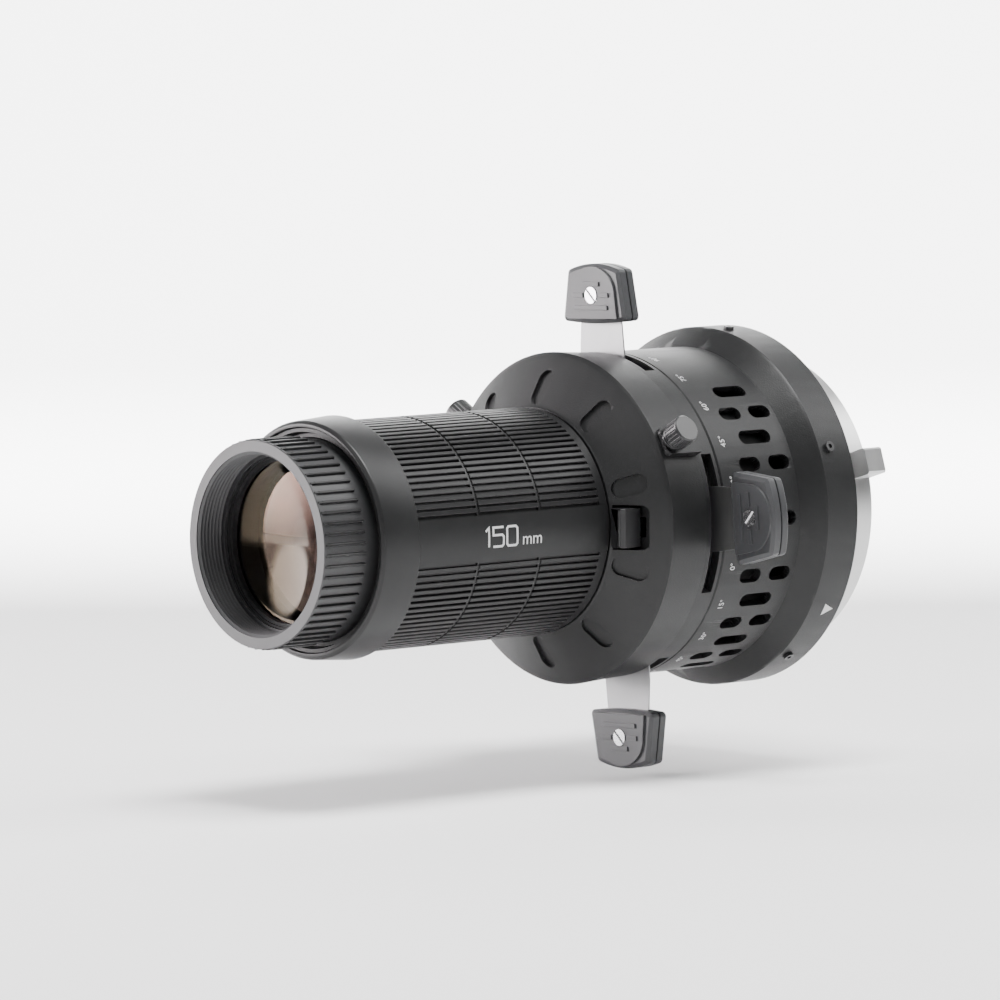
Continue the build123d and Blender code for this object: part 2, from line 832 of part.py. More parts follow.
def front_collar():
    return turned(
        (sleeve_radius + free_gap, collar_front + 0.6),
        (sleeve_radius + free_gap + 1.4, collar_front + 0.6),
        (sleeve_radius + free_gap + 1.9, collar_front),
        (collar_front_radius - mouth_break, collar_front),
        (collar_front_radius, collar_front + mouth_break),
        (collar_rear_radius, tube_front - edge_break),
        (collar_rear_radius - edge_break, tube_front),
        (collar_step, tube_front),
        (collar_step, tube_front - collar_overlap),
        (sleeve_radius + free_gap, tube_front - collar_overlap),
    )


def lens_spigot():
    front = tube_rear - 10
    return turned(
        (spigot_bore, front),
        (tube_bore, front),
        (tube_bore, tube_rear),
        (spigot_radius, tube_rear),
        (spigot_radius, tube_rear + spigot_length - mouth_break),
        (spigot_radius - mouth_break, tube_rear + spigot_length),
        (spigot_bore, tube_rear + spigot_length),
    )


def rear_baffle():
    front = tube_rear - baffle_depth
    return ring(baffle_opening, tube_bore - seat_gap, front, front + baffle_thickness)


# ---------------------------------------------------------------- focusing lens head
carrier_front = ring_front + front_lens_depth - 1.9
carrier_rear = ring_rear + sleeve_length + free_gap + carrier_guide_length
lens_seat_radius = carrier_tube - carrier_wall
front_lens_front_edge = ring_front + front_lens_depth
front_lens_rear_edge = front_lens_front_edge + front_lens_edge
rear_lens_front_edge = front_lens_rear_edge + objective_gap
rear_lens_rear_edge = rear_lens_front_edge + rear_lens_edge


def focus_ring():
    bearing = carrier_tube + running_gap
    shoulder = ring_front + mouth_depth
    body = turned(
        (mouth_radius, ring_front),
        (ring_radius - edge_break, ring_front),
        (ring_radius, ring_front + edge_break),
        (ring_radius, ring_rear - edge_break),
        (ring_radius - edge_break, ring_rear),
        (sleeve_radius, ring_rear),
        (sleeve_radius, ring_rear + sleeve_length),
        (bearing, ring_rear + sleeve_length),
        (bearing, carrier_front - free_gap),
        (mouth_radius - 0.8, carrier_front - free_gap),
        (mouth_radius - 0.8, shoulder),
        (mouth_radius, shoulder),
    )
    grooves = []
    length = ring_rear - ring_front - 2 * knurl_lip
    groove = Box(2 * knurl_depth, length, knurl_groove)
    for index in range(knurl_count):
        placed = Pos(ring_radius, (ring_front + ring_rear) / 2, 0) * groove
        grooves.append(around(placed, index * 360 / knurl_count))
    return body - grooves


def focus_carrier():
    guide_front = ring_rear + sleeve_length + free_gap
    ledge = lens_seat_radius - 1.1
    return turned(
        (lens_seat_radius, carrier_front),
        (carrier_tube, carrier_front),
        (carrier_tube, guide_front),
        (tube_bore - running_gap, guide_front),
        (tube_bore - running_gap, carrier_rear),
        (carrier_tube, carrier_rear),
        (carrier_tube, rear_lens_rear_edge + 3),
        (ledge, rear_lens_rear_edge + 3),
        (ledge, rear_lens_rear_edge),
        (lens_seat_radius, rear_lens_rear_edge),
    )


def objectives():
    radius = lens_seat_radius - seat_gap
    size = (radius, objective_margin)
    front_lens = lens(*size, front_lens_front_edge, front_lens_rear_edge, front_lens_bulge, 1.6)
    rear_lens = lens(*size, rear_lens_front_edge, rear_lens_rear_edge, -1.2, -1.0)
    return front_lens, rear_lens


def objective_spacer():
    outer = lens_seat_radius - seat_gap
    return ring(outer - objective_margin + 0.2, outer, front_lens_rear_edge, rear_lens_front_edge)


def objective_retainer():
    outer = lens_seat_radius - seat_gap
    return ring(outer - objective_margin + 0.1, outer, carrier_front + 0.2, front_lens_front_edge)


# ---------------------------------------------------------------- write the nodes
save("vented_barrel", vented_barrel())
save("bayonet_ring", bayonet_ring())
save("rim_screws", *rim_screws())
save("condenser_cell", condenser_cell())
condenser_front, condenser_rear = condensers()
save("condenser_front_lens", condenser_front)
save("condenser_rear_lens", condenser_rear)
save("condenser_spacer", ring(condenser_radius - 1.6, condenser_radius, front_lens_rear, rear_lens_front))
save("condenser_retainer", ring(condenser_radius - 2, cell_bore, cell_front, front_lens_front))

save("drum_front_shell", front_shell())
save("drum_rear_ring", rear_ring())
save("rotation_retainer", rotation_retainer())
save("retainer_screws", *retainer_screws())
save("lens_socket", lens_socket())
gate_front, gate_rear = gate_plates()
save("gate_plate_front", gate_front)
save("gate_plate_rear", gate_rear)
save("gate_spacers", *gate_spacers())
save("gate_screws", *gate_screws())
save("blade_pins", *blade_pins())

shutter_pieces = {
    "shutter_blade": shutter_blade,
    "guide_bush": guide_bush,
    "handle_front": handle_front_half,
    "handle_rear": handle_rear_half,
    "handle_insert": handle_insert,
    "handle_screw": handle_screw,
}
for index, side in enumerate(directions):
    for piece, make in shutter_pieces.items():
        save(f"{side}_{piece}", set_down(make(index), side))

for side, angle in (("right", thumb_angle), ("left", 180 - thumb_angle)):
    save(f"{side}_thumb_screw", thumb_screw(angle))
    save(f"{side}_thumb_washer", thumb_washer(angle))

save("lens_latch", lens_latch())
save("latch_spring", latch_spring())

save("lens_tube", lens_tube())
save("front_collar", front_collar())
save("lens_spigot", lens_spigot())
save("rear_baffle", rear_baffle())

save("focus_ring", focus_ring())
save("focus_carrier", focus_carrier())
objective_front, objective_rear = objectives()
save("objective_front_lens", objective_front)
save("objective_rear_lens", objective_rear)
save("objective_spacer", objective_spacer())
save("objective_retainer", objective_retainer())
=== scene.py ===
import json
from math import cos, sin, pi, radians, sqrt

import bmesh
import bpy
from mathutils import Matrix, Vector


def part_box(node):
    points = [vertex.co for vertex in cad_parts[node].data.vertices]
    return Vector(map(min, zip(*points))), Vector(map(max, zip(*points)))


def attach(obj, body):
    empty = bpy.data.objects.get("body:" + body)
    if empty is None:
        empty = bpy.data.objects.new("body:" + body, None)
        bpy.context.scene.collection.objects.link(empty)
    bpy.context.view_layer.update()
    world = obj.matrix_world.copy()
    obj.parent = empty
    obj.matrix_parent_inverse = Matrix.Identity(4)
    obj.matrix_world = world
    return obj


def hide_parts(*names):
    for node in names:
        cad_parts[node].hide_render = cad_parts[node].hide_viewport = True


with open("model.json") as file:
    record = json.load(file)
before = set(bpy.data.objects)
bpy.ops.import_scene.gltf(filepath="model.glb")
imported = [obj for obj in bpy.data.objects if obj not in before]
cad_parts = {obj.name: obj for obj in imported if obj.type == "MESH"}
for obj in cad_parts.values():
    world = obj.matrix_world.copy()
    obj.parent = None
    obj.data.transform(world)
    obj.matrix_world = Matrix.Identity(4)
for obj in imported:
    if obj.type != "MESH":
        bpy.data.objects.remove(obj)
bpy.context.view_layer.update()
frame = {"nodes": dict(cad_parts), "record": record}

nodes = frame["nodes"]
mm = 0.001


# Node building
class Wire:
    # One output socket that Python arithmetic can be written on.
    def __init__(self, maker, socket):
        self.maker = maker
        self.socket = socket

    def maths(self, operation, *others):
        return self.maker.node("ShaderNodeMath", {"operation": operation}, *others)

    def __add__(self, other):
        return self.maths("ADD", self, other)

    def __sub__(self, other):
        return self.maths("SUBTRACT", self, other)

    def __mul__(self, other):
        return self.maths("MULTIPLY", self, other)

    def __truediv__(self, other):
        return self.maths("DIVIDE", self, other)

    def __pow__(self, other):
        return self.maths("POWER", self, other)

    def __rsub__(self, other):
        return self.maths("SUBTRACT", other, self)

    def __rtruediv__(self, other):
        return self.maths("DIVIDE", other, self)

    __radd__ = __add__
    __rmul__ = __mul__


class Finish:
    # A material whose nodes are added one by one.
    def __init__(self, name):
        self.material = bpy.data.materials.new(name)
        self.material.use_nodes = True
        self.tree = self.material.node_tree
        self.shader = self.tree.nodes["Principled BSDF"]
        self.place = self.node("ShaderNodeTexCoord", {}, output="Object")

    def node(self, kind, settings, *values, output=0, **named):
        made = self.tree.nodes.new(kind)
        for key, value in settings.items():
            setattr(made, key, value)
        for index, value in enumerate(values):
            self.feed(made.inputs[index], value)
        for key, value in named.items():
            self.feed(made.inputs[key.replace("_", " ")], value)
        return Wire(self, made.outputs[output])

    def feed(self, socket, value):
        if isinstance(value, Wire):
            self.tree.links.new(value.socket, socket)
        else:
            socket.default_value = value

    def noise(self, scale, detail=2.0, roughness=0.5, place=None):
        return self.node("ShaderNodeTexNoise", {}, Vector=place or self.place, Scale=scale,
                         Detail=detail, Roughness=roughness, output="Fac")

    def stretched(self, scale):
        return self.node("ShaderNodeMapping", {}, Vector=self.place, Scale=scale)

    def mix(self, factor, first, second):
        # Inputs 6 and 7 and output 2 are the colour ones.
        mixer = self.tree.nodes.new("ShaderNodeMix")
        mixer.data_type = "RGBA"
        self.feed(mixer.inputs["Factor"], factor)
        self.feed(mixer.inputs[6], (*first, 1))
        self.feed(mixer.inputs[7], (*second, 1))
        return Wire(self, mixer.outputs[2])

    def bump(self, height, distance, strength=1.0):
        return self.node("ShaderNodeBump", {}, Height=height, Distance=distance, Strength=strength,
                         output="Normal")

    def set(self, **values):
        for key, value in values.items():
            self.feed(self.shader.inputs[key.replace("_", " ")], value)

    def radius(self):
        # Distance from the object's Y axis.
        parts = self.tree.nodes.new("ShaderNodeSeparateXYZ")
        self.feed(parts.inputs[0], self.place)
        x = Wire(self, parts.outputs[0])
        z = Wire(self, parts.outputs[2])
        return (x * x + z * z) ** 0.5


# Scale of each finish's large-scale variation, and how far it moves the roughness
varied = {"coat": 55.0, "coatRough": 0.12, "grainRough": 0.15, "brushed": 70.0, "streakRough": 0.18,
          "streakShare": 0.6, "turned": 90.0, "turnedRough": 0.1, "dust": 900.0, "dustTint": 0.985,
          "wear": 1500.0, "wearTint": 0.82, "wearRough": 0.1, "filmIndex": 1.38}


def powderCoat(name, look):
    finish = Finish(name)
    grain = finish.noise(look["grain"], 2.0, 0.6)
    cloud = finish.noise(varied["coat"], 3.0)
    tint = finish.mix(cloud, look["dark"], look["light"])
    rough = look["rough"] + (cloud - 0.5) * varied["coatRough"] + (grain - 0.5) * varied["grainRough"]
    finish.set(Base_Color=tint, Roughness=rough)
    finish.set(Normal=finish.bump(grain, look["depth"] * mm), Specular_IOR_Level=look["specular"])
    return finish.material


def brushed(name, look):
    finish = Finish(name)
    streak = finish.noise(1.0, 3.0, 0.7, finish.stretched(look["stretch"]))
    cloud = finish.noise(varied["brushed"], 2.0)
    share = varied["streakShare"]
    tint = finish.mix(streak * share + cloud * (1 - share), look["dark"], look["light"])
    rough = look["rough"] + (streak - 0.5) * varied["streakRough"]
    finish.set(Base_Color=tint, Metallic=1.0, Roughness=rough)
    finish.set(Normal=finish.bump(streak, look["depth"] * mm))
    return finish.material


def turnedMetal(name, look):
    finish = Finish(name)
    radius = finish.radius()
    rings = finish.node("ShaderNodeMath", {"operation": "SINE"}, radius * look["rings"])
    cloud = finish.noise(varied["turned"], 3.0)
    tint = finish.mix(cloud, look["dark"], look["light"])
    rough = look["rough"] + (cloud - 0.5) * varied["turnedRough"]
    finish.set(Base_Color=tint, Metallic=look["metallic"], Roughness=rough)
    finish.set(Normal=finish.bump(rings, look["depth"] * mm, 0.5), Specular_IOR_Level=look["specular"])
    return finish.material


def coatedGlass(name, look):
    finish = Finish(name)
    dust = finish.noise(varied["dust"], 2.0)
    clean = look["tint"]
    dusty = tuple(varied["dustTint"] * part for part in clean)
    finish.set(Base_Color=finish.mix(dust, clean, dusty), Roughness=0.0)
    finish.set(Transmission_Weight=1.0, IOR=look["ior"])
    finish.set(Thin_Film_Thickness=look["film"], Thin_Film_IOR=varied["filmIndex"])
    return finish.material


def paint(name, colour, rough):
    finish = Finish(name)
    wear = finish.noise(varied["wear"], 2.0)
    worn = tuple(varied["wearTint"] * part for part in colour)
    rough = rough + varied["wearRough"] * wear
    finish.set(Base_Color=finish.mix(wear, colour, worn), Roughness=rough)
    return finish.material


# Finishes by the record's material slots: colours, roughness, grain sizes and bump depths in mm
finishes = {
    "black_casting": powderCoat("blackPowderCoat", {
        "dark": (0.0065, 0.0067, 0.0072), "light": (0.0105, 0.0107, 0.0112),
        "rough": 0.43, "grain": 2600.0, "depth": 0.05, "specular": 0.34}),
    "black_satin_tube": powderCoat("satinBlackPaint", {
        "dark": (0.008, 0.0082, 0.0086), "light": (0.012, 0.012, 0.0126),
        "rough": 0.40, "grain": 5200.0, "depth": 0.012, "specular": 0.34}),
    "black_anodised": powderCoat("mattBlackAnodising", {
        "dark": (0.005, 0.005, 0.0055), "light": (0.008, 0.008, 0.0085),
        "rough": 0.6, "grain": 6000.0, "depth": 0.008, "specular": 0.4}),
    "focus_ring_satin": turnedMetal("turnedFrontRing", {
        "dark": (0.021, 0.0214, 0.0226), "light": (0.026, 0.0264, 0.0276),
        "rough": 0.46, "rings": 26000.0, "depth": 0.0012, "metallic": 0.0, "specular": 0.6}),
    "plated_steel": brushed("satinNickel", {
        "dark": (0.50, 0.50, 0.50), "light": (0.60, 0.60, 0.60),
        "rough": 0.34, "stretch": (260.0, 1400.0, 260.0), "depth": 0.004}),
    "gate_steel": brushed("rolledSteel", {
        "dark": (0.30, 0.30, 0.31), "light": (0.42, 0.42, 0.43),
        "rough": 0.40, "stretch": (1500.0, 200.0, 200.0), "depth": 0.005}),
    "blade_steel": brushed("brushedBlade", {
        "dark": (0.22, 0.22, 0.223), "light": (0.29, 0.29, 0.293),
        "rough": 0.42, "stretch": (2600.0, 900.0, 160.0), "depth": 0.004}),
    "handle_screw_steel": brushed("brightScrew", {
        "dark": (0.62, 0.62, 0.63), "light": (0.78, 0.78, 0.79),
        "rough": 0.25, "stretch": (900.0, 900.0, 900.0), "depth": 0.003}),
    "black_screws": powderCoat("blackOxide", {
        "dark": (0.012, 0.012, 0.013), "light": (0.020, 0.020, 0.021),
        "rough": 0.36, "grain": 5000.0, "depth": 0.006, "specular": 0.6}),
    "spring_wire": brushed("springWire", {
        "dark": (0.42, 0.42, 0.43), "light": (0.58, 0.58, 0.59),
        "rough": 0.28, "stretch": (800.0, 800.0, 800.0), "depth": 0.002}),
    "bush_brass": brushed("machinedBrass", {
        "dark": (0.48, 0.33, 0.12), "light": (0.62, 0.45, 0.19),
        "rough": 0.32, "stretch": (900.0, 900.0, 900.0), "depth": 0.003}),
    "handle_plastic": powderCoat("greyMouldedPlastic", {
        "dark": (0.030, 0.031, 0.033), "light": (0.038, 0.039, 0.042),
        "rough": 0.42, "grain": 3400.0, "depth": 0.012, "specular": 0.5}),
    "latch_plastic": powderCoat("blackMouldedPlastic", {
        "dark": (0.009, 0.009, 0.010), "light": (0.013, 0.013, 0.014),
        "rough": 0.34, "grain": 3000.0, "depth": 0.008, "specular": 0.5}),
    "washer_nylon": powderCoat("blackNylon", {
        "dark": (0.014, 0.014, 0.015), "light": (0.019, 0.019, 0.020),
        "rough": 0.5, "grain": 3000.0, "depth": 0.006, "specular": 0.5}),
    "condenser_glass": coatedGlass("condenserGlass", {
        "tint": (0.93, 0.97, 0.95), "ior": 1.52, "film": 120.0}),
    "coated_glass": coatedGlass("coatedLensGlass", {
        "tint": (0.96, 0.98, 1.0), "ior": 1.60, "film": 98.0}),
}
whiteInk = paint("whiteInk", (0.62, 0.62, 0.62), 0.45)

slotOf = {entry["node"]: entry["material_slot"] for entry in frame["record"]["subparts"]}
bodyOf = {name: body for body, names in frame["record"]["behaviour"]["bodies"].items() for name in names}

for name, thing in nodes.items():
    thing.data.materials.clear()
    thing.data.materials.append(finishes[slotOf[name]])
print("finishes are on the CAD nodes")


# Mesh building
def linked(name, data):
    thing = bpy.data.objects.new(name, data)
    bpy.context.scene.collection.objects.link(thing)
    return thing


def asPiece(name, mesh, material, node, body=None):
    # Replaces the node, or with a body given only rides with it.
    thing = linked(name, mesh)
    mesh.materials.clear()
    mesh.materials.append(material)
    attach(thing, body or bodyOf[node])
    if body is None:
        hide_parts(node)


def evaluatedMesh(holder):
    # Plain mesh of an object as its modifiers or its text leave it.
    bpy.context.view_layer.update()
    plain = bpy.data.meshes.new_from_object(holder.evaluated_get(bpy.context.evaluated_depsgraph_get()))
    bpy.data.objects.remove(holder)
    return plain


def smoothed(work, name, sharp=35.0):
    mesh = bpy.data.meshes.new(name)
    work.to_mesh(mesh)
    work.free()
    mesh.shade_smooth()
    mesh.set_sharp_from_angle(angle=radians(sharp))
    return mesh


def lathe(outline, segments=256):
    # Closed ring of revolution about the optical axis, from (radius, y) points in millimetres.
    work = bmesh.new()
    rows = []
    for step in range(segments):
        turn = 2 * pi * step / segments
        rows.append([work.verts.new((radius * cos(turn) * mm, y * mm, radius * sin(turn) * mm))
                     if radius > 0 or step == 0 else rows[0][index]
                     for index, (radius, y) in enumerate(outline)])
    for step in range(segments):
        here = rows[step]
        there = rows[(step + 1) % segments]
        for index in range(len(outline)):
            after = (index + 1) % len(outline)
            corners = []
            for corner in (here[index], here[after], there[after], there[index]):
                if corner not in corners:
                    corners.append(corner)
            if len(corners) > 2:
                work.faces.new(corners)
    bmesh.ops.recalc_face_normals(work, faces=work.faces)
    return work


def rounded(outline, corners, steps=4):
    # Outline with some corners rounded: corners maps a point's index to how far the curve reaches.
    result = []
    count = len(outline)
    for index, point in enumerate(outline):
        if index not in corners:
            result.append(point)
            continue
        here = Vector(point)
        start = here + (Vector(outline[index - 1]) - here).normalized() * corners[index]
        end = here + (Vector(outline[(index + 1) % count]) - here).normalized() * corners[index]
        for step in range(steps + 1):
            share = step / steps
            place = start * (1 - share) ** 2 + here * (2 * share * (1 - share)) + end * share ** 2
            result.append((place.x, place.y))
    return result


def evened(mesh):
    # Keeps large faces flat in the shading, so that only the broken edges catch the light.
    holder = linked(mesh.name, mesh)
    modifier = holder.modifiers.new("even", "WEIGHTED_NORMAL")
    modifier.keep_sharp = True
    modifier.weight = 80
    return evaluatedMesh(holder)


# Angles in degrees, distances in millimetres
softLook = {"merge": 0.002, "flat": 0.6, "sharp": 28.0, "segments": 2, "mergeAfter": 0.001, "shade": 40.0}


def softened(node, width):
    # Copy of a CAD node, merged into clean faces, with its hard edges broken.
    look = softLook
    work = bmesh.new()
    work.from_mesh(nodes[node].data)
    bmesh.ops.remove_doubles(work, verts=work.verts, dist=look["merge"] * mm)
    bmesh.ops.dissolve_limit(work, angle_limit=radians(look["flat"]), verts=work.verts, edges=work.edges)
    edges = [edge for edge in work.edges if len(edge.link_faces) == 2
             and edge.calc_face_angle(0) > radians(look["sharp"])]
    bmesh.ops.bevel(work, geom=edges, offset=width * mm, offset_type="OFFSET",
                    segments=look["segments"], profile=0.5, affect="EDGES", clamp_overlap=True)
    bmesh.ops.remove_doubles(work, verts=work.verts, dist=look["mergeAfter"] * mm)
    mesh = evened(smoothed(work, node + "Soft", look["shade"]))
    asPiece(node + "Soft", mesh, finishes[slotOf[node]], node)


# Repeats about the axis, with Geometry Nodes
def repeater():
    tree = bpy.data.node_groups.new("repeatAboutAxis", "GeometryNodeTree")
    face = tree.interface
    face.new_socket("Geometry", in_out="INPUT", socket_type="NodeSocketGeometry")
    for title, kind, default in (("Count", "NodeSocketInt", 12), ("First Angle", "NodeSocketFloat", 0.0),
                                 ("Step Angle", "NodeSocketFloat", 0.1),
                                 ("Material", "NodeSocketMaterial", None)):
        socket = face.new_socket(title, in_out="INPUT", socket_type=kind)
        if default is not None:
            socket.default_value = default
    face.new_socket("Geometry", in_out="OUTPUT", socket_type="NodeSocketGeometry")
    make = tree.nodes.new
    entry = make("NodeGroupInput")
    leave = make("NodeGroupOutput")
    line = make("GeometryNodeMeshLine")
    line.inputs["Offset"].default_value = (0, 0, 0)
    points = make("GeometryNodeMeshToPoints")
    onPoints = make("GeometryNodeInstanceOnPoints")
    index = make("GeometryNodeInputIndex")
    turn = make("ShaderNodeMath")
    turn.operation = "MULTIPLY_ADD"
    rotation = make("ShaderNodeCombineXYZ")
    realize = make("GeometryNodeRealizeInstances")
    setMaterial = make("GeometryNodeSetMaterial")
    link = tree.links.new
    link(entry.outputs["Count"], line.inputs["Count"])
    link(line.outputs["Mesh"], points.inputs["Mesh"])
    link(points.outputs["Points"], onPoints.inputs["Points"])
    link(entry.outputs["Geometry"], onPoints.inputs["Instance"])
    link(index.outputs[0], turn.inputs[0])
    link(entry.outputs["Step Angle"], turn.inputs[1])
    link(entry.outputs["First Angle"], turn.inputs[2])
    link(turn.outputs[0], rotation.inputs["Y"])
    link(rotation.outputs[0], onPoints.inputs["Rotation"])
    link(onPoints.outputs["Instances"], realize.inputs["Geometry"])
    link(realize.outputs["Geometry"], setMaterial.inputs["Geometry"])
    link(entry.outputs["Material"], setMaterial.inputs["Material"])
    link(setMaterial.outputs["Geometry"], leave.inputs["Geometry"])
    return tree


repeatTree = repeater()


def repeated(work, name, count, first, step, material):
    # The shape in work, repeated about the optical axis, as one plain mesh. Angles in degrees.
    mesh = bpy.data.meshes.new(name)
    work.to_mesh(mesh)
    work.free()
    mesh.materials.append(material)
    holder = linked(name + "Pattern", mesh)
    modifier = holder.modifiers.new("repeat", "NODES")
    modifier.node_group = repeatTree
    wanted = {"Count": count, "First Angle": radians(-first), "Step Angle": radians(-step),
              "Material": material}
    for item in repeatTree.interface.items_tree:
        if item.in_out == "INPUT" and item.name in wanted:
            modifier[item.identifier] = wanted[item.name]
    plain = evaluatedMesh(holder)
    plain.name = name
    plain.shade_smooth()
    plain.set_sharp_from_angle(angle=radians(35.0))
    return plain


def joined(*meshes):
    # One bmesh of several meshes or bmeshes; a bmesh that is given is used up.
    work = bmesh.new()
    for mesh in meshes:
        if isinstance(mesh, bmesh.types.BMesh):
            spare = bpy.data.meshes.new("spare")
            mesh.to_mesh(spare)
            mesh.free()
            mesh = spare
        work.from_mesh(mesh)
    return work


def bar(inner, outer, front, rear, half, foot=None, edge=0.0):
    # Ridge at angle zero: a box whose foot may be wider than its top.
    foot = half if foot is None else foot
    work = bmesh.new()
    corners = []
    for y in (front, rear):
        for x, z in ((inner, -foot), (outer, -half), (outer, half), (inner, foot)):
            corners.append(work.verts.new((x * mm, y * mm, z * mm)))
    a, b, c, d, e, f, g, h = corners
    for loop in ((a, d, c, b), (e, f, g, h), (a, b, f, e), (b, c, g, f), (c, d, h, g), (d, a, e, h)):
        work.faces.new(loop)
    bmesh.ops.recalc_face_normals(work, faces=work.faces)
    if edge:
        middle = (inner + outer) / 2 * mm
        top = [line for line in work.edges if all(vert.co.x > middle for vert in line.verts)]
        bmesh.ops.bevel(work, geom=top, offset=edge * mm, offset_type="OFFSET", segments=1, profile=0.5,
                        affect="EDGES", clamp_overlap=True)
    return work


# Sizes read from the CAD nodes
def span(node):
    # Front and rear of a node along the optical axis, in millimetres.
    low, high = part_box(node)
    return low[1] / mm, high[1] / mm


tubeFront, tubeRear = span("lens_tube")
collarFront, collarRear = span("front_collar")
ringFront, ringRear = span("focus_ring")
print("tube", tubeFront, tubeRear, "collar", collarFront, collarRear, "ring", ringFront, ringRear)


# Lens tube: ribbed grip in three rows, with a smooth panel for its marking
tubeLook = {"radius": 32.8, "floor": 31.95, "bore": 29.8, "joint": 30.95,
            "frontDrop": 0.2, "frontLand": 0.7, "plainRadius": 32.3, "plainLength": 3.1, "plainBreak": 0.3,
            "rows": 3, "ribs": 93, "pitch": 3.6, "ribHalf": 0.62, "ribSplay": 0.12, "ribBreak": 0.14,
            "ribFront": 0.55, "ribRear": 0.35, "sunk": 0.3,
            "nubDrop": 0.3, "nubFront": 0.1, "nubRear": 0.8, "nubShare": 0.6,
            "ridge": 32.5, "ridgeWidth": 0.55, "ridgeSlope": 0.1,
            "panelHalfAngle": 11.6, "panelRadius": 32.95, "panelSunk": 0.2, "panelFront": 0.1,
            "panelRear": 2.6, "panelRound": 0.25}


def sector(outline, first, last, steps):
    # Closed outline of (radius, y) points swept through part of a turn, with both ends capped.
    work = bmesh.new()
    rows = []
    for step in range(steps + 1):
        turn = radians(first + (last - first) * step / steps)
        rows.append([work.verts.new((radius * cos(turn) * mm, y * mm, radius * sin(turn) * mm))
                     for radius, y in outline])
    for here, there in zip(rows, rows[1:]):
        for index in range(len(outline)):
            after = (index + 1) % len(outline)
            work.faces.new((here[index], here[after], there[after], there[index]))
    work.faces.new(rows[0])
    work.faces.new(rows[-1])
    bmesh.ops.recalc_face_normals(work, faces=work.faces)
    return work


def lensTube():
    look = tubeLook
    floor = look["floor"]
    gripFront = collarRear + look["frontLand"]
    gripRear = tubeRear - look["plainLength"]
    pitch = (gripRear - gripFront) / look["rows"]
    front = look["radius"] - look["frontDrop"]
    outline = [(look["bore"], tubeRear), (look["bore"], tubeFront), (look["joint"], tubeFront),
               (look["joint"], collarRear), (front, collarRear), (front, gripFront), (floor, gripFront)]
    half = look["ridgeWidth"] / 2
    slope = look["ridgeSlope"]
    foot = floor - look["sunk"]
    rows = []
    for row in range(look["rows"]):
        start = gripFront + row * pitch
        end = start + pitch
        if row < look["rows"] - 1:
            outline += [(floor, end - half - slope), (look["ridge"], end - half),
                        (look["ridge"], end + half), (floor, end + half + slope)]
        rib = bar(foot, look["radius"], start + look["ribFront"], end - look["ribRear"],
                  look["ribHalf"], look["ribHalf"] + look["ribSplay"], look["ribBreak"])
        nub = bar(foot, look["radius"] - look["nubDrop"], start - look["nubFront"],
                  start + look["nubRear"], look["ribHalf"] * look["nubShare"])
        rows += [rib, nub]
    outline += [(floor, gripRear), (look["plainRadius"], gripRear),
                (look["plainRadius"], tubeRear - look["plainBreak"]),
                (look["plainRadius"] - look["plainBreak"], tubeRear)]
    first = (360 - (look["ribs"] - 1) * look["pitch"]) / 2
    grip = repeated(joined(*rows), "tubeRibs", look["ribs"], first, look["pitch"],
                    finishes["black_satin_tube"])
    low = floor - look["panelSunk"]
    top = look["panelRadius"]
    panelFront = gripFront + look["panelFront"]
    panelRear = gripRear + look["panelRear"]
    panelOutline = rounded([(low, panelFront), (top, panelFront), (top, panelRear), (low, panelRear)],
                           {1: look["panelRound"], 2: look["panelRound"]})
    panel = sector(panelOutline, -look["panelHalfAngle"], look["panelHalfAngle"], 24)
    whole = smoothed(joined(lathe(outline, 288), panel, grip), "lensTubeRibbed", 30.0)
    asPiece("lensTubeRibbed", whole, finishes["black_satin_tube"], "lens_tube")


lensTube()

# Collar at the front of the tube
collarLook = {"front": 33.6, "rear": 34.5, "sleeve": 28.9, "step": 31.0, "overlap": 3.0, "mouthDepth": 3.4,
              "mouthSteps": (1.0, 1.6, 2.6, 2.9), "lip": 0.9, "lipRound": 0.15, "edgeRound": 0.3}


def frontCollar():
    look = collarLook
    sleeve = look["sleeve"]
    deep = collarFront + look["mouthDepth"]
    shoulder = collarFront + look["lip"]
    first, second, third, fourth = (sleeve + out for out in look["mouthSteps"])
    outline = [(sleeve, deep), (first, deep), (second, shoulder), (third, shoulder),
               (fourth, collarFront), (look["front"] - look["lip"], collarFront),
               (look["front"], shoulder), (look["rear"], collarRear), (look["step"], collarRear),
               (look["step"], collarRear - look["overlap"]), (sleeve, collarRear - look["overlap"])]
    edge = look["edgeRound"]
    outline = rounded(outline, {4: look["lipRound"], 5: edge, 6: edge, 7: edge})
    collar = smoothed(lathe(outline), "frontCollarTurned")
    asPiece("frontCollarTurned", collar, finishes["black_satin_tube"], "front_collar")


frontCollar()

# Focusing ring: knurled outside, filter thread inside its mouth
ringLook = {"length": 15.4, "base": 28.85, "top": 29.6, "face": 29.25, "mouth": 25.3, "threadDepth": 0.75,
            "threadLength": 8.6, "threadStart": 0.35, "turns": 7, "crestFront": 0.45, "crestRear": 0.6,
            "seat": 24.5, "seatSlope": 0.1, "seatEnd": 9.9, "bearing": 26.08, "sleeve": 28.6,
            "baseStart": 0.9, "faceEnd": 0.8, "faceBreak": 0.2, "sunk": 0.3,
            "ribs": 60, "firstRib": 3.0, "ribHalf": 0.34, "ribFoot": 0.56, "ribBreak": 0.12,
            "ribStart": 2.0, "ribEnd": 0.5,
            "nubDrop": 0.1, "nubStart": 0.5, "nubEnd": 2.2, "nubHalf": 0.3, "nubFoot": 0.45,
            "nubBreak": 0.08}


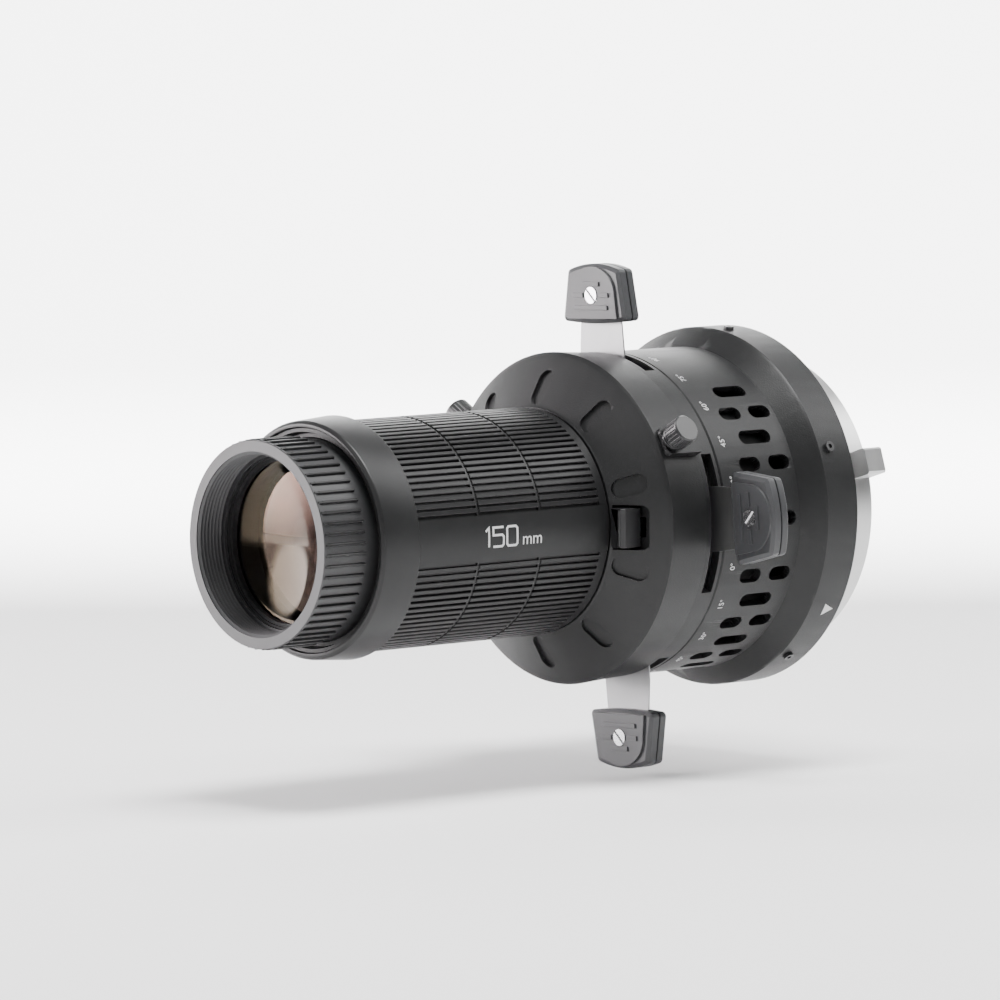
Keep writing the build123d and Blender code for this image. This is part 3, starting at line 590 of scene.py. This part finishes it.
def focusRing():
    look = ringLook
    rear = ringFront + look["length"]
    root = look["mouth"] + look["threadDepth"]
    pitch = look["threadLength"] / look["turns"]
    start = ringFront + look["threadStart"]
    outline = [(root, ringFront)]
    for turn in range(look["turns"]):
        y = start + turn * pitch
        outline += [(root, y), (look["mouth"], y + pitch * look["crestFront"]),
                    (look["mouth"], y + pitch * look["crestRear"])]
    threadEnd = start + look["threadLength"]
    seatEnd = ringFront + look["seatEnd"]
    outline += [(root, threadEnd), (look["seat"], threadEnd + look["seatSlope"]),
                (look["seat"], seatEnd), (look["bearing"], seatEnd), (look["bearing"], ringRear),
                (look["sleeve"], ringRear), (look["sleeve"], rear), (look["base"], rear),
                (look["base"], ringFront + look["baseStart"]),
                (look["face"], ringFront + look["faceEnd"]),
                (look["face"], ringFront + look["faceBreak"]),
                (look["face"] - look["faceBreak"], ringFront)]
    foot = look["base"] - look["sunk"]
    rib = bar(foot, look["top"], ringFront + look["ribStart"], rear - look["ribEnd"],
              look["ribHalf"], look["ribFoot"], look["ribBreak"])
    nub = bar(foot, look["top"] - look["nubDrop"], ringFront + look["nubStart"],
              ringFront + look["nubEnd"], look["nubHalf"], look["nubFoot"], look["nubBreak"])
    knurl = repeated(joined(rib, nub), "ringKnurl", look["ribs"], look["firstRib"],
                     360 / look["ribs"], finishes["black_satin_tube"])
    body = smoothed(lathe(outline, 288), "focusRingBody", 30.0)
    asPiece("focusRingBody", body, finishes["focus_ring_satin"], "focus_ring")
    asPiece("focusRingKnurl", knurl, finishes["black_satin_tube"], "focus_ring",
            body=bodyOf["focus_ring"])


focusRing()

# Front lens, with round faces
lensLook = {"front": 12.1, "edge": 3.4, "radius": 23.85, "clear": 22.75, "bulge": 2.4, "back": 1.6}


def bulged(y, bulge, way, steps=20):
    # Points of one spherical face from the axis out, standing out of the plane y along way.
    clear = lensLook["clear"]
    sphere = (clear ** 2 + bulge ** 2) / (2 * bulge)
    radii = [clear * step / steps for step in range(steps + 1)]
    return [(r, y + way * (sqrt(sphere ** 2 - r ** 2) - (sphere - bulge))) for r in radii]


def frontLens():
    look = lensLook
    front = ringFront + look["front"]
    rear = front + look["edge"]
    outline = bulged(front, look["bulge"], -1) + [(look["radius"], front), (look["radius"], rear)]
    outline += bulged(rear, look["back"], 1)[::-1]
    glass = smoothed(lathe(outline, 128), "objectiveFront", 50.0)
    asPiece("objectiveFront", glass, finishes["coated_glass"], "objective_front_lens")


frontLens()
print("lens tube, collar, ring and front lens are made")

# Cast, sheet and moulded pieces: CAD shapes with their edges broken
edgeBreaks = {"drum_front_shell": 0.28, "drum_rear_ring": 0.12, "vented_barrel": 0.22, "bayonet_ring": 0.22,
              "lens_latch": 0.25, "right_thumb_washer": 0.12, "left_thumb_washer": 0.12}
for side in ("right", "top", "left", "bottom"):
    edgeBreaks[side + "_handle_front"] = 0.18
    edgeBreaks[side + "_handle_rear"] = 0.18
    edgeBreaks[side + "_shutter_blade"] = 0.05
for name, width in edgeBreaks.items():
    softened(name, width)
print("edges are broken")


# Printed and engraved marks, as thin solids wrapped on the cylinders
def lettering(words, height, name):
    # Flat text at the origin, centred, in millimetres.
    curve = bpy.data.curves.new(name, "FONT")
    curve.body = words
    curve.size = 1.0
    curve.align_x = "CENTER"
    curve.resolution_u = 4
    work = bmesh.new()
    work.from_mesh(evaluatedMesh(linked(name, curve)))
    scale = height / max(vert.co.y for vert in work.verts)
    for vert in work.verts:
        vert.co *= scale
    return work


def stroked(paths, weight):
    # Thin-line glyphs: each path is (x, y) points drawn with an even line and mitred corners.
    work = bmesh.new()
    for path in paths:
        closed = path[0] == path[-1]
        points = [Vector(point) for point in (path[:-1] if closed else path)]
        count = len(points)
        edges = []
        for index, point in enumerate(points):
            before = points[index - 1] if closed or index else None
            after = points[(index + 1) % count] if closed or index < count - 1 else None
            ways = [way.normalized() for way in ((point - before) if before else None,
                                                 (after - point) if after else None) if way]
            across = sum((Vector((-way.y, way.x)) for way in ways), Vector((0, 0))).normalized()
            reach = weight / 2 / max(0.5, across.dot(Vector((-ways[0].y, ways[0].x))))
            edges.append([work.verts.new((*(point + across * reach * side), 0)) for side in (-1, 1)])
        pairs = list(zip(edges, edges[1:])) + ([(edges[-1], edges[0])] if closed else [])
        for here, there in pairs:
            work.faces.new((here[0], there[0], there[1], here[1]))
    bmesh.ops.recalc_face_normals(work, faces=work.faces)
    return work


def wrapped(work, radius, angle, y, along=False, thick=0.03, step=0.7):
    # Wraps flat work on a cylinder about the axis. Text reads round the cylinder with its top
    # towards the lens, or with along=True reads along the axis.
    wide = [vert.co.x for vert in work.verts]
    tall = [vert.co.y for vert in work.verts]
    low, high = (min(tall), max(tall)) if along else (min(wide), max(wide))
    direction = Vector((0, 1, 0)) if along else Vector((1, 0, 0))
    cut = low + step
    while cut < high:
        bmesh.ops.bisect_plane(work, geom=work.verts[:] + work.edges[:] + work.faces[:],
                               plane_co=direction * cut, plane_no=direction)
        cut += step
    lifted = bmesh.ops.extrude_face_region(work, geom=work.faces[:], use_keep_orig=True)["geom"]
    top = {item for item in lifted if isinstance(item, bmesh.types.BMVert)}
    for vert in work.verts:
        u, v = vert.co.x, vert.co.y
        r = radius + (thick if vert in top else -0.02)
        if along:
            turn = radians(angle) + v / radius
            place = y + u
        else:
            turn = radians(angle) + u / radius
            place = y - v
        vert.co = Vector((r * cos(turn), place, r * sin(turn))) * mm
    bmesh.ops.recalc_face_normals(work, faces=work.faces)
    return work


# Angles in degrees, the rest in millimetres
scaleLook = {"zero": -15.8, "step": 15, "last": 90, "height": 1.9, "radius": 47.0, "y": -42.6}
arrowLook = {"half": 2.0, "tall": 1.9, "radius": 52.5, "angle": -32.1, "y": -4.8}
lengthLook = {"digits": 5.4, "unit": 2.3, "digitsAngle": 0.4, "digitsY": -121.2, "unitAngle": -4.4,
              "unitY": -109.6}

# Squared thin-line figures, as shares of their height
digitLook = {"wide": 0.72, "cut": 0.10, "gap": 0.24, "flag": 0.22, "flagLow": 0.82, "space": 0.06,
             "waist": 0.60, "weight": 0.12}


def flat(points):
    # One flat polygon from (x, y) points.
    work = bmesh.new()
    work.faces.new([work.verts.new((x, y, 0)) for x, y in points])
    return work


def lengthDigits(height):
    # The lens's focal length.
    look = digitLook
    wide = look["wide"] * height
    cut = look["cut"] * height
    gap = look["gap"] * height
    flag = look["flag"] * height
    one = [(0, look["flagLow"] * height), (flag, height), (flag, 0)]
    x = flag + gap + look["space"] * height
    middle = look["waist"] * height
    five = [(x + wide, height), (x, height), (x, middle), (x + wide - cut, middle),
            (x + wide, middle - cut), (x + wide, cut), (x + wide - cut, 0), (x, 0)]
    x += wide + gap
    zero = [(x + cut, 0), (x + wide - cut, 0), (x + wide, cut), (x + wide, height - cut),
            (x + wide - cut, height), (x + cut, height), (x, height - cut), (x, cut), (x + cut, 0)]
    work = stroked([one, five, zero], look["weight"] * height)
    middleX = (x + wide) / 2
    for vert in work.verts:
        vert.co.x -= middleX
        vert.co.y -= 0.5 * height
    return work


def inked(name, work, node, body):
    asPiece(name, smoothed(work, name, 20.0), whiteInk, node, body=body)


def angleScale():
    look = scaleLook
    parts = []
    for label in range(-look["last"], look["last"] + 1, look["step"]):
        work = lettering(str(abs(label)) + chr(176), look["height"], "scaleMark")
        parts.append(wrapped(work, look["radius"], label + look["zero"], look["y"]))
    inked("angleScale", joined(*parts), "vented_barrel", "base")


def alignmentMark():
    half, tall = arrowLook["half"], arrowLook["tall"]
    triangle = flat([(-half, tall), (half, tall), (0, -tall)])
    arrow = wrapped(triangle, arrowLook["radius"], arrowLook["angle"], arrowLook["y"])
    inked("alignmentMark", arrow, "vented_barrel", "base")


def lengthMark():
    look = lengthLook
    radius = tubeLook["panelRadius"]
    digits = wrapped(lengthDigits(look["digits"]), radius, look["digitsAngle"], look["digitsY"], along=True)
    unit = lettering("mm", look["unit"], "lensUnit")
    unit = wrapped(unit, radius, look["unitAngle"], look["unitY"], along=True)
    inked("lengthMark", joined(digits, unit), "lens_tube", "lens")


angleScale()
alignmentMark()
lengthMark()
print("marks are printed")

# Floor and backdrop in one sheet, pale. Sizes from here on are in metres.
stageLook = {"floor": -0.0755, "behind": 2.6, "height": 3.2, "width": 5.0, "ahead": 4.5, "bend": 0.9,
             "steps": 16, "dark": (0.92, 0.92, 0.92), "light": (0.94, 0.94, 0.94)}


def studioSweep(viewAngle):
    look = stageLook
    work = bmesh.new()
    line = [(-look["ahead"], look["floor"]), (look["behind"] - look["bend"], look["floor"])]
    for step in range(1, look["steps"] + 1):
        turn = pi / 2 * step / look["steps"]
        line.append((look["behind"] - look["bend"] + look["bend"] * sin(turn),
                     look["floor"] + look["bend"] * (1 - cos(turn))))
    line.append((look["behind"], look["height"]))
    rows = []
    for side in (-look["width"], look["width"]):
        rows.append([work.verts.new((side, away, high)) for away, high in line])
    for index in range(len(line) - 1):
        work.faces.new((rows[0][index], rows[1][index], rows[1][index + 1], rows[0][index + 1]))
    mesh = smoothed(work, "studioSweep", 60.0)
    mesh.transform(Matrix.Rotation(radians(viewAngle), 4, "Z"))
    finish = Finish("paleBackdrop")
    cloud = finish.noise(2.0)
    finish.set(Base_Color=finish.mix(cloud, look["dark"], look["light"]), Roughness=0.85 + 0.05 * cloud)
    mesh.materials.append(finish.material)
    linked("studioSweep", mesh)


# Camera, seen from the front and the right, nearly level
cameraLook = {"azimuth": 48.092, "elevation": 4.935, "roll": -0.449,
              "place": (1.62086, -1.54694, 0.1948), "lens": 275.06, "sensor": 36.0}


def camera():
    look = cameraLook
    turn, rise, roll = (radians(look[key]) for key in ("azimuth", "elevation", "roll"))
    right = Vector((cos(turn), sin(turn), 0))
    back = Vector((sin(turn) * cos(rise), -cos(turn) * cos(rise), sin(rise)))
    up = back.cross(right)
    tiltedRight = right * cos(roll) + up * sin(roll)
    tiltedUp = up * cos(roll) - right * sin(roll)
    view = bpy.data.cameras.new("studioCamera")
    view.sensor_width = look["sensor"]
    view.lens = look["lens"]
    view.clip_end = 50
    holder = linked("studioCamera", view)
    holder.matrix_world = Matrix((
        (tiltedRight.x, tiltedUp.x, back.x, look["place"][0]),
        (tiltedRight.y, tiltedUp.y, back.y, look["place"][1]),
        (tiltedRight.z, tiltedUp.z, back.z, look["place"][2]),
        (0, 0, 0, 1)))
    bpy.context.scene.camera = holder
    return turn


# Soft lights: power, size, distance, and where from in degrees (turn from the camera's azimuth, rise)
aimPoint = Vector((0, -0.09, 0))
backdropPoint = {"away": 2.4, "high": 0.3}
worldStrength = 0.13
lightLook = {
    "overhead": {"power": 46.0, "size": (0.9, 0.5), "turn": 22, "rise": 74, "distance": 1.5},
    "frontSoft": {"power": 5.0, "size": (0.9, 1.2), "turn": -40, "rise": 22, "distance": 1.8},
    "rearRight": {"power": 14.0, "size": (0.7, 0.9), "turn": 100, "rise": 42, "distance": 1.6},
    "backdropWash": {"power": 225.0, "size": (2.6, 1.2), "turn": 180, "rise": 48, "distance": 1.2,
                     "away": True},
}

# Soft-edged glowing card at the left, mirrored in the front lens
cardLook = {"half": 0.5, "strength": 34.0, "turn": -92, "rise": 12, "distance": 1.25,
            "middle": (1.0, 0.95, 0.97)}


def placeOf(look, turn):
    heading = turn + radians(look["turn"])
    rise = radians(look["rise"])
    return Vector((sin(heading) * cos(rise), -cos(heading) * cos(rise), sin(rise))) * look["distance"]


def glowCard(turn):
    half = cardLook["half"]
    work = bmesh.new()
    square = ((half, half), (-half, half), (-half, -half), (half, -half))
    work.faces.new([work.verts.new((x, 0, z)) for x, z in square])
    mesh = smoothed(work, "glowCard")
    place = placeOf(cardLook, turn)
    facing = (aimPoint - place).to_track_quat("Y", "Z").to_matrix().to_4x4()
    card = linked("glowCard", mesh)
    card.matrix_world = Matrix.Translation(place) @ facing
    finish = Finish("softGlow")
    inside = 1 - (finish.radius() / half) ** 2
    glow = inside.maths("MAXIMUM", inside, 0.0) ** 2
    finish.set(Emission_Color=finish.mix(glow, (0, 0, 0), cardLook["middle"]))
    finish.set(Emission_Strength=cardLook["strength"], Base_Color=(0.02, 0.02, 0.02, 1), Roughness=0.9)
    mesh.materials.append(finish.material)


def lights(turn):
    for name, look in lightLook.items():
        lamp = bpy.data.lights.new(name, "AREA")
        lamp.shape = "RECTANGLE"
        lamp.size, lamp.size_y = look["size"]
        lamp.energy = look["power"]
        holder = linked(name, lamp)
        place = placeOf(look, turn)
        aim = aimPoint - place
        if look.get("away"):
            away = backdropPoint["away"]
            aim = Vector((-sin(turn) * away, cos(turn) * away, backdropPoint["high"])) - place
        holder.location = place
        holder.rotation_euler = aim.to_track_quat("-Z", "Y").to_euler()
    world = bpy.data.worlds.new("studioWorld")
    bpy.context.scene.world = world
    world.use_nodes = True
    sky = world.node_tree.nodes["Background"].inputs
    sky["Color"].default_value = (1, 1, 1, 1)
    sky["Strength"].default_value = worldStrength


viewTurn = camera()
studioSweep(cameraLook["azimuth"])
glowCard(viewTurn)
lights(viewTurn)
print("camera and lights are set")


def corners(bounds):
    return [[float(part) for part in corner] for corner in bounds]
